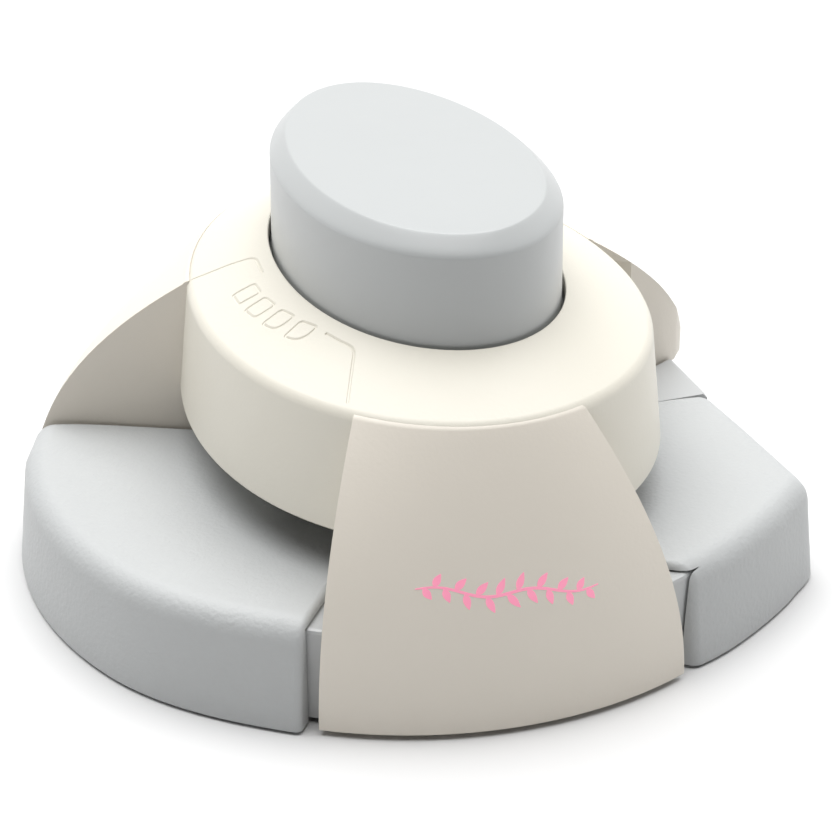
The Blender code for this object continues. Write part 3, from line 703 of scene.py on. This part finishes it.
def coil_section(shape, spot, turn, height):
    """Round section of the wire, square to the coil."""
    out = Vector((math.cos(turn), math.sin(turn), 0.0))
    middle = Vector((spot[0] + AXIS_X, spot[1], height)) + COIL_RADIUS * out
    corners = [middle + WIRE_RADIUS * (out * math.cos(a) + Vector((0, 0, 1)) * math.sin(a))
               for a in [2 * math.pi * i / WIRE_SIDES for i in range(WIRE_SIDES)]]
    return [shape.verts.new(corner * MM) for corner in corners]


for name, spot in {"front": (-2.6, -19.8), "left": (-9.8, 9.6), "right": (11.0, 6.0)}.items():
    coil = bmesh.new()
    steps = SPRING_TURNS * STEPS_PER_TURN
    sections = []
    for step in range(steps + 1):
        share = step / steps
        closed = min(share, CLOSED_SHARE) + max(share - 1 + CLOSED_SHARE, 0)
        rise = min(max((share - CLOSED_SHARE) / (1 - 2 * CLOSED_SHARE), 0.0), 1.0)
        height = SPRING_LOW + WIRE_RADIUS + CLOSED_RISE * closed / CLOSED_SHARE
        height += (SPRING_HIGH - SPRING_LOW - 2 * (WIRE_RADIUS + CLOSED_RISE)) * rise
        sections.append(coil_section(coil, spot, 2 * math.pi * SPRING_TURNS * share, height))
    for near, far in zip(sections, sections[1:]):
        for i in range(WIRE_SIDES):
            after = (i + 1) % WIRE_SIDES
            coil.faces.new((near[i], near[after], far[after], far[i]))
    coil.faces.new(sections[0])
    coil.faces.new(sections[-1][::-1])
    bmesh.ops.recalc_face_normals(coil, faces=coil.faces)
    spring = make_piece(name + "_coil_spring", coil, plated_steel, weighted=False)
    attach(spring, "base")
    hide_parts(name + "_return_spring")
    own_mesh(spring)


# Feet: three dark rubber pads, compression moulded and pressed into the bottom plate, so
# that the tool doesn't slide under the palm.
foot_rubber = moulded_plastic("foot rubber", (0.035, 0.035, 0.037), 0.8, spread=0.1,
                              grain=0.00004, grain_size=1200.0)
for name in ("left_foot", "right_foot", "rear_foot"):
    refinish(name, foot_rubber)


# Floor, light and camera: a plain pale floor under one broad, soft overhead light, in
# a white room that shines from behind and stays dark on the camera's side.
floor_shape = bmesh.new()
bmesh.ops.create_grid(floor_shape, x_segments=1, y_segments=1, size=3.0)
floor_mesh = bpy.data.meshes.new("pale_floor")
floor_shape.to_mesh(floor_mesh)
floor_shape.free()
floor = bpy.data.objects.new("pale_floor", floor_mesh)
bpy.context.scene.collection.objects.link(floor)
floor_white = bpy.data.materials.new("floor white")
floor_white.use_nodes = True
floor_shader = floor_white.node_tree.nodes["Principled BSDF"]
floor_shader.inputs["Base Color"].default_value = (0.70, 0.70, 0.70, 1.0)
floor_shader.inputs["Roughness"].default_value = 0.9
floor_mesh.materials.append(floor_white)

world = bpy.data.worlds.new("soft room")
bpy.context.scene.world = world
world.use_nodes = True
room = world.node_tree
bearing = room.nodes.new("ShaderNodeTexCoord")
facing = room.nodes.new("ShaderNodeVectorMath")
facing.operation = "DOT_PRODUCT"
facing.inputs[1].default_value = (-0.334, -0.943, 0.0)
room.links.new(bearing.outputs["Generated"], facing.inputs[0])
falloff = room.nodes.new("ShaderNodeMapRange")
falloff.interpolation_type = "SMOOTHSTEP"
for socket, value in (("From Min", -0.35), ("From Max", 0.75), ("To Min", 0.9), ("To Max", 0.0)):
    falloff.inputs[socket].default_value = value
room.links.new(facing.outputs["Value"], falloff.inputs["Value"])
# The camera sees the room as plain white.
paths = room.nodes.new("ShaderNodeLightPath")
seen = room.nodes.new("ShaderNodeMix")
seen.inputs[3].default_value = 1.0
room.links.new(paths.outputs["Is Camera Ray"], seen.inputs[0])
room.links.new(falloff.outputs["Result"], seen.inputs[2])
room.links.new(seen.outputs[0], room.nodes["Background"].inputs["Strength"])
room.nodes["Background"].inputs["Color"].default_value = (1.0, 1.0, 1.0, 1.0)

overhead = bpy.data.lights.new("overhead", "SUN")
overhead.energy = 3.5
overhead.angle = math.radians(70)
overhead_holder = bpy.data.objects.new("overhead", overhead)
overhead_holder.rotation_euler = Vector((0.0, -0.16, -1.0)).to_track_quat("-Z", "Y").to_euler()
bpy.context.scene.collection.objects.link(overhead_holder)

bpy.context.scene.view_settings.view_transform = "Standard"
# The camera stands 350 mm away, in front and to the left, and looks down by 28 degrees.
lens = bpy.data.cameras.new("camera")
lens.lens = 105.0
lens.sensor_width = 36.0
camera = bpy.data.objects.new("camera", lens)
bpy.context.scene.collection.objects.link(camera)
camera.location = (-0.0994 + AXIS_X * MM, -0.2851, 0.1777)
camera.rotation_euler = Vector((0.2947, 0.8323, -0.4695)).to_track_quat("-Z", "Y").to_euler()
bpy.context.scene.camera = camera
